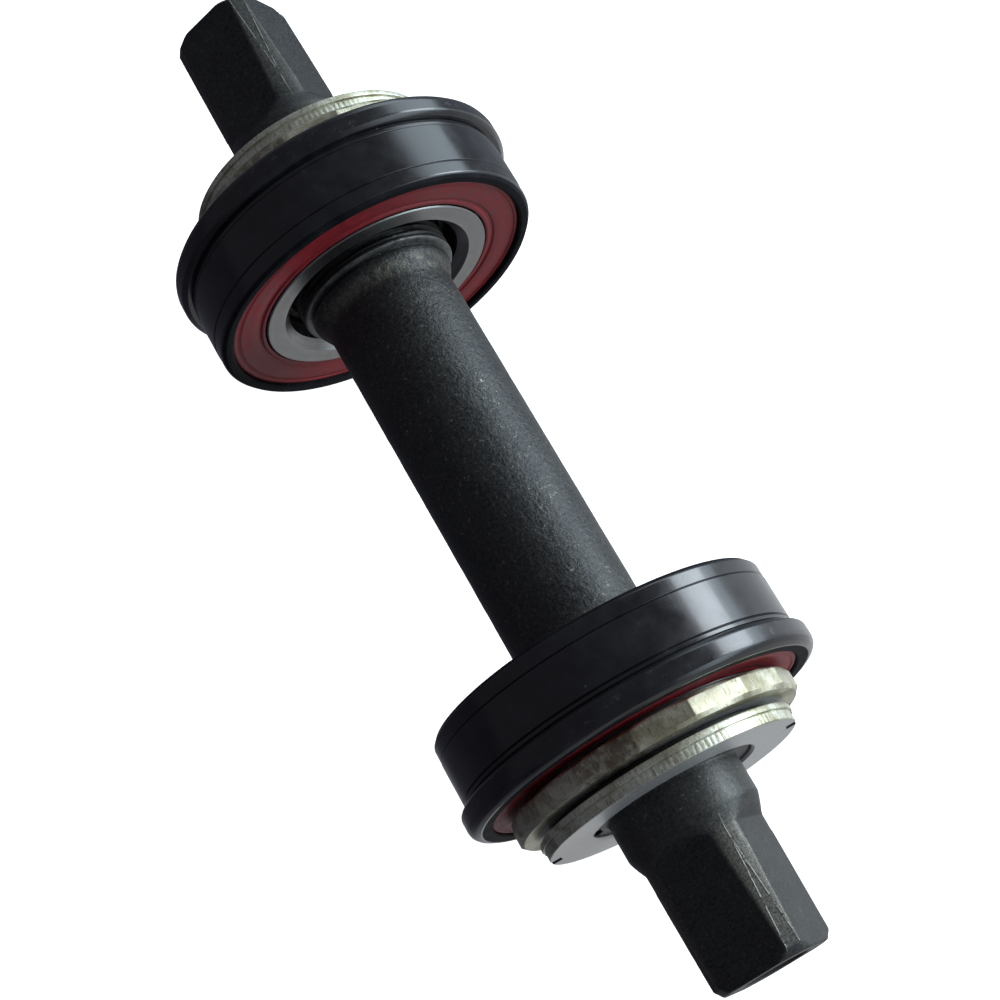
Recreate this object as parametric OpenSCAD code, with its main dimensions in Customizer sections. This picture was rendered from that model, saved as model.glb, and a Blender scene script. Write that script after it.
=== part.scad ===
// Square-taper bicycle bottom bracket with two press-fit bearing cups.
// The spindle lies along Y, the origin is the middle of the spindle, +X is
// forward, +Z is up and +Y is the left side. On the spindle, every distance
// named "_y" is measured along it from its middle. On the cups, bearings and
// nuts, it is measured from the middle between the two cups.

/* [Spindle] */
// Whole length of the spindle
spindle_l = 147.5; // [146.5:0.5:152]
// Diameter of the plain tube between the bearings
tube_d = 18; // [17:0.1:18.5]
// Diameter of the threaded collars that the nuts run on
collar_d = 22; // [21.5:0.1:22.4]
// Where the left collar starts
left_collar_y = 27.9; // [27.5:0.1:29]
// Where the right collar starts
right_collar_y = 30.9; // [30:0.1:32]
// Where each collar ends
collar_end_y = 49.4; // [49:0.1:49.9]
// Diameter of the plain journal outside each collar
journal_d = 17.9; // [17:0.1:18.5]
// Turn of the square about the spindle, from straight up towards +X
square_turn = 11.6; // [0:0.1:45]

/* [Square taper] */
// Width across the flats at the tip
square_w = 12.7; // [12.5:0.05:12.9]
// Slope of each flat
flat_slope = 2; // [1.5:0.25:2.5]
// Diameter over the rounded corners of the square
corner_d = 16.2; // [15.8:0.1:17]
// Where the flats start on the left end
left_taper_y = 55.6; // [55:0.1:58]
// Where the flats start on the right end
right_taper_y = 57.2; // [56.8:0.1:58]
// Diameter of the hole for the crank bolt
bolt_hole_d = 7; // [6.8:0.1:7.2]
// Depth of the threaded part of that hole
bolt_hole_l = 20; // [14:1:22]

/* [Cup] */
// How far the middle between the cups is from the spindle's middle, to the right
cups_offset_y = 1.5; // [1.4:0.1:1.6]
// Diameter of the press seat
seat_d = 46; // [45.8:0.05:46.2]
// Diameter of the flange
flange_d = 48.3; // [47.6:0.1:50]
// Inboard face of the cup
cup_inner_y = 29.1; // [28.7:0.1:29.3]
// Shoulder where the flange starts
flange_y = 38.3; // [38.2:0.1:38.8]
// Outboard face of the cup
cup_outer_y = 41.8; // [41.7:0.1:42.2]

/* [Bearing] */
// Middle of the bearing
bearing_y = 35.6; // [35.5:0.1:35.7]
// Outer diameter of the bearing
bearing_d = 42; // [41.8:0.1:42.2]
// Bore of the bearing
bearing_bore = 25; // [24.8:0.1:25.2]
// Width of the inner ring
inner_ring_l = 12; // [11.8:0.1:12]
// Width of the outer ring
outer_ring_l = 9.8; // [9.6:0.1:10]
// Outer diameter of the inner ring
inner_ring_d = 32.5; // [32:0.1:32.6]
// Inner diameter of the outer ring
outer_ring_bore = 37.1; // [37:0.1:37.4]
// Diameter of a ball
ball_d = 5; // [4.6:0.1:5]
// Balls in each bearing
ball_count = 13; // [9:1:13]
// Outer diameter of a seal
seal_d = 42.6; // [42.4:0.1:42.8]

/* [Nuts] */
// Corner-to-corner width of the adjusting nut
nut_d = 39.1; // [38.6:0.1:39.6]
// Sides of the adjusting nut
nut_sides = 16; // [13:1:24]
// Turn of the adjusting nut, from straight up towards +X
nut_turn = -2.3; // [-11:0.1:11]
// Inboard face of the adjusting nut's rim
nut_y = 42.4; // [42.3:0.1:42.6]
// Width of the adjusting nut's rim
nut_l = 2.9; // [2.7:0.1:3.1]
// Thickness of the tab washer
washer_t = 0.9; // [0.8:0.1:1]
// Diameter of the tab washer
washer_d = 30.4; // [29:0.1:32]
// Diameter of the lock nut
lock_nut_d = 34.8; // [34:0.1:35.2]
// Width of the lock nut
lock_nut_l = 2.2; // [2:0.1:2.3]
// Turn of the lock nut's two slots, from straight up towards +X
slot_turn = -100.7; // [-180:0.1:180]

/* [Hidden] */
$fn = 96;

half_l = spindle_l / 2;
tube_r = tube_d / 2;
collar_r = collar_d / 2;
journal_r = journal_d / 2;
corner_r = corner_d / 2;
seat_r = seat_d / 2;
flange_r = flange_d / 2;
seal_r = seal_d / 2;
nut_r = nut_d / 2;
lock_nut_r = lock_nut_d / 2;

// Spindle details
flare_l = 3.4;             // cone between the tube and a collar
collar_chamfer = 0.4;
shoulder_l = 2.6;          // cone between a journal and the square
tip_chamfer = 1.1;
runout_l = 2.6;            // slope where a flat runs out into the shoulder
facet_l = 15;              // length of the small facet on each corner of the square
facet_depth = 0.1;
keyway_w = 3;
keyway_depth = 1.2;
keyway_l = 5.8;
drill_tip_l = 2;
mouth_d = 9;               // countersink at the mouth of the bolt hole
mouth_l = 1;
cutter = 12;               // larger than anything the cutting blocks must clear
overlap = 0.5;             // how far a cutting tool runs past a face

// Cup details
edge_chamfer = 0.55;
groove_w = 0.25;
groove_depth = 0.25;
groove_inner_y = 31.4;     // fine lines turned round the press seat
groove_outer_y = 37.3;
flange_slope = 0.7;        // cone on the flange's inboard side
flange_round = 1.1;        // rounding of the flange's outboard edge

// Bearing details
inner_land_r = inner_ring_d / 2;
outer_land_r = outer_ring_bore / 2;
pitch_r = (inner_land_r + outer_land_r) / 2;
ball_r = ball_d / 2;
groove_gap = 0.05;         // play between a ball and its raceway
cage_gap = 0.2;            // play between the cage and the rings
pocket_gap = 0.1;
cage_t = 0.6;              // sheet of the pressed cage
rivet_d = 1;
rivet_head_d = 1.6;
rivet_head_t = 0.4;
seal_t = 1;
seal_gap = 0.2;            // play between a seal's lip and the inner ring
lip_t = 0.35;
ring_chamfer = 0.5;
bore_chamfer = 1.2;        // of the inner ring

// Nut details
boss_l = 8;                // boss that carries the inner ring
shoulder_d = 31.2;         // shoulder that clamps the inner ring
nut_chamfer = 0.55;
slot_w = 2;
slot_depth = 1.6;
knurl_l = 1.3;             // knurled band of the lock nut's rim
knurl_relief = 0.3;        // that band is this much smaller
tab_w = 2.8;

// Turns a shape made along +Z so that it lies along +Y.
module along_y() {
    rotate([-90, 0, 0]) children();
}

// Turns a shape made along +X in a plan view to an angle from straight up.
module turned(angle) {
    rotate([0, 0, angle - 90]) children();
}

module mirrored() {
    mirror([0, 1, 0]) children();
}

// A ring made along +Z between two heights.
module ring(outer_r, inner_r, low, high) {
    translate([0, 0, low])
        difference() {
            cylinder(r = outer_r, h = high - low);
            translate([0, 0, -overlap]) cylinder(r = inner_r, h = high - low + 2 * overlap);
        }
}

// ---- Spindle ----

// Half of the turned body, from the middle to one tip.
module half_blank(collar_y, taper_y) {
    rotate_extrude()
        polygon([
            [0, 0],
            [tube_r, 0],
            [tube_r, collar_y - flare_l],
            [collar_r - collar_chamfer, collar_y - collar_chamfer],
            [collar_r, collar_y],
            [collar_r, collar_end_y - collar_chamfer],
            [collar_r - collar_chamfer, collar_end_y],
            [journal_r, collar_end_y],
            [journal_r, taper_y - shoulder_l],
            [corner_r, taper_y],
            [corner_r, half_l - tip_chamfer],
            [corner_r - tip_chamfer, half_l],
            [0, half_l]
        ]);
}

// Removes what lies outside one flat of the square.
module flat_cut(taper_y) {
    tip_x = square_w / 2;
    start_x = tip_x + (half_l - taper_y) * tan(flat_slope);
    translate([0, cutter, 0])
        rotate([90, 0, 0])
            linear_extrude(height = 2 * cutter)
                polygon([
                    [tip_x - overlap * tan(flat_slope), half_l + overlap],
                    [start_x, taper_y],
                    [start_x + runout_l, taper_y - runout_l],
                    [start_x + cutter, taper_y - runout_l],
                    [start_x + cutter, half_l + overlap]
                ]);
}

// Removes the small facet on one corner of the square.
module facet_cut() {
    translate([0, cutter, 0])
        rotate([90, 0, 0])
            linear_extrude(height = 2 * cutter)
                polygon([
                    [corner_r, half_l - facet_l],
                    [corner_r - facet_depth, half_l + overlap],
                    [corner_r + cutter, half_l + overlap],
                    [corner_r + cutter, half_l - facet_l]
                ]);
}

module bolt_hole() {
    translate([0, 0, half_l - bolt_hole_l]) {
        cylinder(d = bolt_hole_d, h = bolt_hole_l + overlap);
        translate([0, 0, -drill_tip_l]) cylinder(d1 = 0, d2 = bolt_hole_d, h = drill_tip_l);
    }
    translate([0, 0, half_l - mouth_l])
        cylinder(d1 = bolt_hole_d, d2 = mouth_d, h = mouth_l);
}

// Slot along the collar that the washer's tab slides in.
module keyway() {
    turned(slot_turn)
        translate([collar_r - keyway_depth, -keyway_w / 2, collar_end_y - keyway_l])
            cube([cutter, keyway_w, keyway_l + overlap]);
}

module half_spindle(collar_y, taper_y) {
    difference() {
        half_blank(collar_y, taper_y);
        for (side = [0:3])
            turned(square_turn + 45 + 90 * side) flat_cut(taper_y);
        for (corner = [0:3])
            turned(square_turn + 90 * corner) facet_cut();
        bolt_hole();
        keyway();
    }
}

module spindle() {
    color("#35373b") {
        along_y() half_spindle(left_collar_y, left_taper_y);
        mirrored() along_y() half_spindle(right_collar_y, right_taper_y);
    }
}

// ---- Cup ----

module cup_outline() {
    difference() {
        union() {
            polygon([
                [0, cup_inner_y],
                [seat_r - edge_chamfer, cup_inner_y],
                [seat_r, cup_inner_y + edge_chamfer],
                [seat_r, flange_y],
                [flange_r - flange_slope, flange_y],
                [flange_r, flange_y + flange_slope],
                [flange_r, cup_outer_y - flange_round],
                [flange_r - flange_round, cup_outer_y],
                [0, cup_outer_y]
            ]);
            translate([flange_r - flange_round, cup_outer_y - flange_round])
                circle(r = flange_round);
        }
        square([bearing_d / 2, cup_outer_y + overlap]);
        square([seal_r, bearing_y - outer_ring_l / 2]);
        translate([0, bearing_y + outer_ring_l / 2]) square([seal_r, cutter]);
        for (line_y = [groove_inner_y, groove_outer_y])
            translate([seat_r - groove_depth, line_y]) square([overlap, groove_w]);
    }
}

module cup() {
    color("#23252a") along_y() rotate_extrude() cup_outline();
}

// ---- Bearing ----

module raceway() {
    translate([0, 0, bearing_y])
        rotate_extrude()
            translate([pitch_r, 0]) circle(r = ball_r + groove_gap, $fn = 48);
}

module outer_race() {
    color("#9a9c9f") along_y() difference() {
        ring(bearing_d / 2, outer_land_r, bearing_y - outer_ring_l / 2, bearing_y + outer_ring_l / 2);
        raceway();
    }
}

module inner_race() {
    low = bearing_y - inner_ring_l / 2;
    high = bearing_y + inner_ring_l / 2;
    bore_r = bearing_bore / 2;
    color("#a9abad") along_y() difference() {
        rotate_extrude()
            polygon([
                [bore_r + bore_chamfer, low],
                [inner_land_r - ring_chamfer / 2, low],
                [inner_land_r, low + ring_chamfer / 2],
                [inner_land_r, high - ring_chamfer / 2],
                [inner_land_r - ring_chamfer / 2, high],
                [bore_r + bore_chamfer, high],
                [bore_r, high - bore_chamfer],
                [bore_r, low + bore_chamfer]
            ]);
        raceway();
    }
}

// Puts a child at every ball, or half way between balls with shift = 0.5.
module at_balls(shift = 0) {
    for (ball = [0:ball_count - 1])
        rotate([0, 0, (ball + shift) * 360 / ball_count])
            translate([pitch_r, 0, bearing_y]) children();
}

module balls() {
    color("#c8cacc") along_y() at_balls() sphere(r = ball_r, $fn = 48);
}

// One pressed half of the cage, on the side of the bearing given by direction.
module cage_half(direction) {
    shell_r = ball_r + pocket_gap + cage_t;
    inner_r = inner_land_r + cage_gap;
    outer_r = outer_land_r - cage_gap;
    slab_low = bearing_y + (direction > 0 ? 0 : -cage_t);
    half_low = bearing_y + (direction > 0 ? 0 : -cutter);
    color("#8d8f92") along_y() difference() {
        intersection() {
            ring(outer_r, inner_r, bearing_y - shell_r, bearing_y + shell_r);
            union() {
                translate([0, 0, slab_low]) cylinder(r = outer_r + overlap, h = cage_t);
                intersection() {
                    at_balls() sphere(r = shell_r, $fn = 48);
                    translate([0, 0, half_low]) cylinder(r = outer_r + overlap, h = cutter);
                }
            }
        }
        at_balls() sphere(r = ball_r + pocket_gap, $fn = 48);
        at_balls(0.5) cylinder(d = rivet_d, h = cutter, center = true, $fn = 24);
    }
}

module cage_rivets() {
    color("#b4b6b8") along_y() at_balls(0.5) {
        cylinder(d = rivet_d, h = 2 * cage_t, center = true, $fn = 24);
        for (end = [-1, 1])
            translate([0, 0, end * (cage_t + rivet_head_t / 2)])
                cylinder(d = rivet_head_d, h = rivet_head_t, center = true, $fn = 24);
    }
}

// A seal against one end of the outer ring: a thick rim with a thin lip.
module seal(direction) {
    inner_face = bearing_y + direction * outer_ring_l / 2;
    outer_face = inner_face + direction * seal_t;
    lip_face = outer_face - direction * lip_t;
    rim_inner_r = outer_land_r;
    lip_inner_r = inner_land_r + seal_gap;
    color("#8e2430") along_y() rotate_extrude()
        polygon([
            [rim_inner_r, inner_face],
            [seal_r, inner_face],
            [seal_r, outer_face],
            [lip_inner_r, outer_face],
            [lip_inner_r, lip_face],
            [rim_inner_r, lip_face]
        ]);
}

// ---- Nuts ----

module adjusting_nut() {
    rim_low = nut_y;
    rim_high = nut_y + nut_l;
    ring_end = bearing_y + inner_ring_l / 2;
    color("#a8a99f") along_y() difference() {
        union() {
            intersection() {
                translate([0, 0, rim_low])
                    linear_extrude(height = nut_l)
                        polygon([
                            for (side = [0:nut_sides - 1])
                                let (angle = nut_turn - 90 + (side + 0.5) * 360 / nut_sides)
                                    nut_r * [cos(angle), sin(angle)]
                        ]);
                rotate_extrude()
                    polygon([
                        [0, rim_low],
                        [nut_r - nut_chamfer, rim_low],
                        [nut_r, rim_low + nut_chamfer / 2],
                        [nut_r, rim_high - nut_chamfer / 2],
                        [nut_r - nut_chamfer, rim_high],
                        [0, rim_high]
                    ]);
            }
            translate([0, 0, ring_end]) cylinder(d = shoulder_d, h = rim_low + overlap - ring_end);
            translate([0, 0, ring_end - boss_l]) cylinder(d = bearing_bore, h = boss_l + overlap);
        }
        translate([0, 0, ring_end - cutter]) cylinder(r = collar_r, h = 3 * cutter);
    }
}

module tab_washer() {
    low = nut_y + nut_l;
    color("#1f2023") along_y() union() {
        ring(washer_d / 2, collar_r, low, low + washer_t);
        turned(slot_turn)
            translate([collar_r - keyway_depth + seal_gap, -tab_w / 2, low])
                cube([keyway_depth + overlap, tab_w, washer_t]);
    }
}

// The lock nut fits either way round: its knurled band can face outboard or inboard.
module lock_nut(knurl_outboard) {
    low = nut_y + nut_l + washer_t;
    knurl_low = knurl_outboard ? low + lock_nut_l - knurl_l : low;
    plain_low = knurl_outboard ? low : low + knurl_l;
    color("#b9bab4") along_y() difference() {
        union() {
            ring(lock_nut_r, collar_r, plain_low, plain_low + lock_nut_l - knurl_l);
            ring(lock_nut_r - knurl_relief, collar_r, knurl_low, knurl_low + knurl_l);
        }
        for (end = [0, 180])
            turned(slot_turn + end)
                translate([lock_nut_r - slot_depth, -slot_w / 2, low - overlap])
                    cube([cutter, slot_w, lock_nut_l + 2 * overlap]);
    }
}

// ---- Sub-parts: the left end as made, the right end mirrored ----

module left_end() {
    translate([0, -cups_offset_y, 0]) children();
}

module right_end() {
    left_end() mirrored() children();
}

module cup_left() { left_end() cup(); }
module cup_right() { right_end() cup(); }
module outer_race_left() { left_end() outer_race(); }
module outer_race_right() { right_end() outer_race(); }
module inner_race_left() { left_end() inner_race(); }
module inner_race_right() { right_end() inner_race(); }
module balls_left() { left_end() balls(); }
module balls_right() { right_end() balls(); }
module inboard_cage_left() { left_end() cage_half(-1); }
module inboard_cage_right() { right_end() cage_half(-1); }
module outboard_cage_left() { left_end() cage_half(1); }
module outboard_cage_right() { right_end() cage_half(1); }
module cage_rivets_left() { left_end() cage_rivets(); }
module cage_rivets_right() { right_end() cage_rivets(); }
module inboard_seal_left() { left_end() seal(-1); }
module inboard_seal_right() { right_end() seal(-1); }
module outboard_seal_left() { left_end() seal(1); }
module outboard_seal_right() { right_end() seal(1); }
module adjusting_nut_left() { left_end() adjusting_nut(); }
module adjusting_nut_right() { right_end() adjusting_nut(); }
module tab_washer_left() { left_end() tab_washer(); }
module tab_washer_right() { right_end() tab_washer(); }
module lock_nut_left() { left_end() lock_nut(false); }
module lock_nut_right() { right_end() lock_nut(true); }

spindle();
cup_left();
cup_right();
outer_race_left();
outer_race_right();
inner_race_left();
inner_race_right();
balls_left();
balls_right();
inboard_cage_left();
inboard_cage_right();
outboard_cage_left();
outboard_cage_right();
cage_rivets_left();
cage_rivets_right();
inboard_seal_left();
inboard_seal_right();
outboard_seal_left();
outboard_seal_right();
adjusting_nut_left();
adjusting_nut_right();
tab_washer_left();
tab_washer_right();
lock_nut_left();
lock_nut_right();
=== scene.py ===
"""Looks of the bicycle bottom bracket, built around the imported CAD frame.

Lengths are in millimetres along Y ("y") and out from the spindle's axis ("radius") until build() turns
them into metres. Angles go round the axis from straight up towards +X.
"""

import math

import bmesh
import bpy
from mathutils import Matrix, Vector, noise


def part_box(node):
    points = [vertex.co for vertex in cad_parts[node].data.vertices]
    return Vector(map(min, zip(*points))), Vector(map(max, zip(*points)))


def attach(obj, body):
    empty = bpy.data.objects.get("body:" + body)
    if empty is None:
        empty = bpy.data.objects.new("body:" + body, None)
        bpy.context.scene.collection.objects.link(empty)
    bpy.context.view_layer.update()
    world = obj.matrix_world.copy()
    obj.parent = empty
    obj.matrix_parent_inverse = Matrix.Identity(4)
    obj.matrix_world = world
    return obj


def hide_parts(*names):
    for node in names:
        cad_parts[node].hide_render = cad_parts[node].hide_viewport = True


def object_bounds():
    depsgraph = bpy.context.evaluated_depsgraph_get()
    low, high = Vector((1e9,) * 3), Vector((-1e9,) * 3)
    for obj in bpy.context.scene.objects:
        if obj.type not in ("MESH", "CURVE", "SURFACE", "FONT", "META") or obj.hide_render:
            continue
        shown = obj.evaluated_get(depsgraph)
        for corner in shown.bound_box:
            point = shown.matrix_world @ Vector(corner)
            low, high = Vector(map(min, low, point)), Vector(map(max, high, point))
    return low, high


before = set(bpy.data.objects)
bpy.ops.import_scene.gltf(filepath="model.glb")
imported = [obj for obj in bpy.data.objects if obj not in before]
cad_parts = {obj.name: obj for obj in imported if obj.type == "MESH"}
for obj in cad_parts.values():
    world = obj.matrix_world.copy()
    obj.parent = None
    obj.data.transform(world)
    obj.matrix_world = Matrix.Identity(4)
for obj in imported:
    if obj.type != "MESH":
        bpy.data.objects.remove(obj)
cad_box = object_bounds()

MM = 0.001
SIDES = {"left": 1, "right": -1}
TURN = 2 * math.pi


# ---- Sizes read from the CAD nodes ----

HALF_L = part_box("spindle")[1].y / MM    # of the spindle
# The middle between the two cups. Every "y" on the cups, bearings and nuts is measured from it.
MIDDLE = (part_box("cup_left")[1].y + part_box("cup_right")[0].y) / 2 / MM


def reach(node):
    """Inboard and outboard ends of a left node, measured along Y from the middle between the cups."""
    low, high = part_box(node)
    return low.y / MM - MIDDLE, high.y / MM - MIDDLE


CUP_IN, CUP_OUT = reach("cup_left")
FLANGE_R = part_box("cup_left")[1].x / MM
RING_IN, RING_OUT = reach("inner_race_left")
OUTER_IN, OUTER_OUT = reach("outer_race_left")
SEAL_IN, SEAL_OUT = reach("inboard_seal_left")[0], reach("outboard_seal_left")[1]
NUT_IN, NUT_OUT = 42.4, reach("adjusting_nut_left")[1]
WASHER_OUT = reach("tab_washer_left")[1]
LOCK_OUT = reach("lock_nut_left")[1]
BEARING_Y = (RING_IN + RING_OUT) / 2


# ---- Sizes inside the nodes, in millimetres and degrees ----

# The spindle. Where its two halves differ, 1 is the left one and -1 the right one.
TUBE_R = 9.0
COLLAR_R = 11.0
THREAD_R = 10.98           # the collar's crests
COLLAR_START = {1: 27.9, -1: 30.9}
COLLAR_END = 49.4
JOURNAL_R = 8.95
CORNER_R = 8.1             # the square's rounded corners
TAPER_START = {1: 55.6, -1: 57.2}
FLAT_TIP = 6.35            # from the axis to a flat, at the tip
FLAT_SLOPE = math.tan(math.radians(2))
SQUARE_TURN = 11.6
KEY_TURN = -100.7
HOLE_R = 3.5               # the bolt hole's crests

# The cups and their bearings.
SEAT_R = 23.0
RACE_R = 21.0              # the outer ring's rim
SEAL_R = 21.3
INNER_LAND_R, OUTER_LAND_R = 16.25, 18.55
BORE_R = 12.5              # of the inner ring
PITCH_R = (INNER_LAND_R + OUTER_LAND_R) / 2
BALL_R = 2.5
BALLS = 13

# The nuts.
NUT_R = 19.56
NUT_TURN = -2.3
NUT_SIDES = 16
LOCK_R = 17.4
SLOT_HALF, SLOT_FLOOR = 1.03, 15.78


# ---- Mesh building ----

def spot(radius, angle, y):
    """The point at an angle in radians round the axis."""
    return (radius * math.sin(angle), y, radius * math.cos(angle))


def strip(a, b):
    """Faces between two loops of vertex numbers: equal counts, a pole, or two to one."""
    n, m = len(a), len(b)
    if n < m:
        return strip(b, a)
    if m == 1:
        return [(a[i], a[(i + 1) % n], b[0]) for i in range(n)]
    if n == m:
        return [(a[i], a[(i + 1) % n], b[(i + 1) % n], b[i]) for i in range(n)]
    faces = []
    for i in range(m):
        mid, after = a[2 * i + 1], a[(2 * i + 2) % n]
        faces.append((a[2 * i], mid, b[i]))
        faces.append((mid, after, b[(i + 1) % m], b[i]))
    return faces


def build(name, parts, side=1, closed=True, sharp=32, middle=MIDDLE):
    """One object from parts, each a list of loops of points in millimetres from the middle."""
    points, faces = [], []
    for loops in parts:
        numbers = []
        for loop in loops:
            numbers.append(range(len(points), len(points) + len(loop)))
            points.extend((x * MM, (side * y + middle) * MM, z * MM) for x, y, z in loop)
        pairs = list(zip(numbers, numbers[1:]))
        if closed:
            pairs.append((numbers[-1], numbers[0]))
        for a, b in pairs:
            faces.extend(strip(a, b))
    mesh = bpy.data.meshes.new(name)
    mesh.from_pydata(points, [], faces)
    shape = bmesh.new()
    shape.from_mesh(mesh)
    bmesh.ops.recalc_face_normals(shape, faces=shape.faces)
    shape.to_mesh(mesh)
    shape.free()
    mesh.shade_smooth()
    mesh.set_sharp_from_angle(angle=math.radians(sharp))
    thing = bpy.data.objects.new(name, mesh)
    bpy.context.scene.collection.objects.link(thing)
    flat = thing.modifiers.new("even_shading", "WEIGHTED_NORMAL")
    flat.keep_sharp = True
    return thing


def rounded(corners):
    """A closed outline with its corners rounded: each is (y, radius) or (y, radius, rounding)."""
    out = []
    count = len(corners)
    for i, corner in enumerate(corners):
        here = Vector(corner[:2])
        size = corner[2] if len(corner) > 2 else 0
        if size <= 0:
            out.append(tuple(here))
            continue
        before = Vector(corners[i - 1][:2]) - here
        after = Vector(corners[(i + 1) % count][:2]) - here
        half = before.angle(after) / 2
        run = size / math.tan(half)
        run = min(run, 0.49 * before.length, 0.49 * after.length)
        size = run * math.tan(half)
        inward = (before.normalized() + after.normalized()).normalized()
        middle = here + inward * (size / math.sin(half))
        start = here + before.normalized() * run - middle
        sweep = math.pi - 2 * half
        way = 1 if start.cross(here + after.normalized() * run - middle) > 0 else -1
        steps = max(2, math.ceil(math.degrees(sweep) / 20))
        for k in range(steps + 1):
            turn = way * sweep * k / steps
            c, s = math.cos(turn), math.sin(turn)
            out.append((middle.x + start.x * c - start.y * s,
                        middle.y + start.x * s + start.y * c))
    return out


def lathe(name, corners, side, count=256):
    """A closed ring turned from an outline."""
    angles = [TURN * i / count for i in range(count)]
    loops = [[spot(radius, a, y) for a in angles] for y, radius in rounded(corners)]
    return build(name, [loops], side)


def smooth_min(a, b, blend):
    """The lower of two numbers, rounded over where they are within blend of each other."""
    h = min(1, max(0, 0.5 + 0.5 * (b - a) / blend))
    return b + (a - b) * h - blend * h * (1 - h)


def groove(turns):
    """Depth of a thread at a number of turns, 0 on the crest and 1 at the root."""
    crest, root = 0.15, 0.3    # how much of a turn is flat
    u = abs((turns % 1) - 0.5) * 2
    return min(1, max(0, (u - crest) / (1 - root - crest)))


# ---- Spindle ----

# From the middle of a flat to its edge, in degrees, where the left taper starts.
EDGE = math.degrees(math.acos((FLAT_TIP + (HALF_L - TAPER_START[1]) * FLAT_SLOPE) / CORNER_R))
EDGE_BAND = 2.0            # degrees of closely spaced columns on each side of an edge
RUNOUT = 2.6               # how far a flat fades out before the taper starts
FACET_L, FACET_DEPTH = 15.0, 0.1    # each corner's narrow facet, which fades in towards the tip
TIP_CHAMFER = 1.1
KEY_HALF = math.degrees(math.asin(1.5 / COLLAR_R))
KEY_FLOOR, KEY_START = 9.8, 43.6
# Ripples of the forged tube and of the turned ends: (depth, waves per millimetre) of each noise.
FORGED = ((0.03, 0.3), (0.02, 0.8), (0.01, 1.7))
TURNED = ((0.012, 0.5), (0.007, 1.7))
# The flare, a turned groove and the bevel where the threads begin, as (distance inboard, radius).
FLARE = (
    (3.9, 9.03), (3.5, 9.1), (3.1, 9.24), (2.7, 9.44), (2.3, 9.68), (1.9, 9.9), (1.55, 10.05),
    (1.25, 10.13), (1.0, 10.14), (0.85, 10.04), (0.75, 9.9), (0.6, 9.84), (0.45, 9.85), (0.36, 9.95),
    (0.33, 10.1), (0.3, 10.4), (0.28, 10.8), (0.22, 10.9), (0.1, 10.95),
)
THREAD_TURNS = 6           # the threads in sight beside the flare
HOLE_L = 20.0
TURN_STEPS = 8             # loops to each 1 mm turn of a thread


def spindle_columns():
    """(quadrant, angle from the middle of its flat) of every column of the spindle's surface."""
    inner = EDGE - EDGE_BAND
    outer = EDGE + EDGE_BAND
    positive = [inner * (i + 1) / 9 for i in range(9)]
    positive += [inner + 0.5 * (i + 1) for i in range(8)]
    positive += [outer + (45 - outer) * (i + 1) / 5 for i in range(5)]
    local = sorted([0] + positive + [-a for a in positive if a < 45])
    columns = [(q, a) for q in range(4) for a in local]
    middle = (KEY_TURN - SQUARE_TURN - 45) % 360 - 180
    for edge in (middle - KEY_HALF, middle + KEY_HALF):
        columns += [(2, edge - 0.1), (2, edge + 0.1)]
    return sorted(columns)


def flat_distance(y, start):
    """Distance from the axis to the flats at y, or None where there is no flat."""
    if y < start - RUNOUT:
        return None
    run_out = 0.8 * max(0, start - y)
    return FLAT_TIP + (HALF_L - max(y, start)) * FLAT_SLOPE + run_out


def ripple(waves, radius, angle, y):
    where = Vector(spot(radius, angle, y))
    return sum(depth * noise.noise(where * scale) for depth, scale in waves)


def spindle_loop(columns, y, radius, sign, inset=0.0, thread=0.0):
    """The spindle's surface at one y, cut by the flats, the corners' facets, the thread and the key."""
    start = TAPER_START[sign]
    flat = flat_distance(y, start)
    edge = math.degrees(math.acos(flat_distance(max(y, start), start) / CORNER_R))
    facet = CORNER_R - FACET_DEPTH * max(0, (y - HALF_L + FACET_L) / FACET_L) ** 2
    loop = []
    for quadrant, base in columns:
        away = abs(base)
        if away <= EDGE - EDGE_BAND:
            away *= (edge - EDGE_BAND) / (EDGE - EDGE_BAND)
        elif away < EDGE + EDGE_BAND:
            away += edge - EDGE
        else:
            away = 45 - (45 - away) * (45 - edge - EDGE_BAND) / (45 - EDGE - EDGE_BAND)
        local = math.copysign(away, base)
        angle = math.radians(SQUARE_TURN + 45 + 90 * quadrant + local)
        r = radius
        if flat is not None:
            soft = 0.16 if y > start + 2 else 0.4
            r = smooth_min(r, flat / math.cos(math.radians(local)), soft)
            if y > HALF_L - FACET_L:
                r = smooth_min(r, facet / math.cos(math.radians(45 - away)), 0.01)
        if thread:
            r -= thread * groove(sign * y - angle / TURN)
        if KEY_START < y <= COLLAR_END:
            off = (math.degrees(angle) - KEY_TURN + 180) % 360 - 180
            if abs(off) < KEY_HALF:
                r = min(r, KEY_FLOOR / math.cos(math.radians(off)))
        if y < COLLAR_START[sign] - 1.2:
            r += ripple(FORGED, r, angle, sign * y) - 0.03
        elif y > COLLAR_END + 0.3:
            r += ripple(TURNED, r, angle, sign * y) - 0.006
        loop.append(spot(r - inset, angle, sign * y))
    return loop


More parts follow.
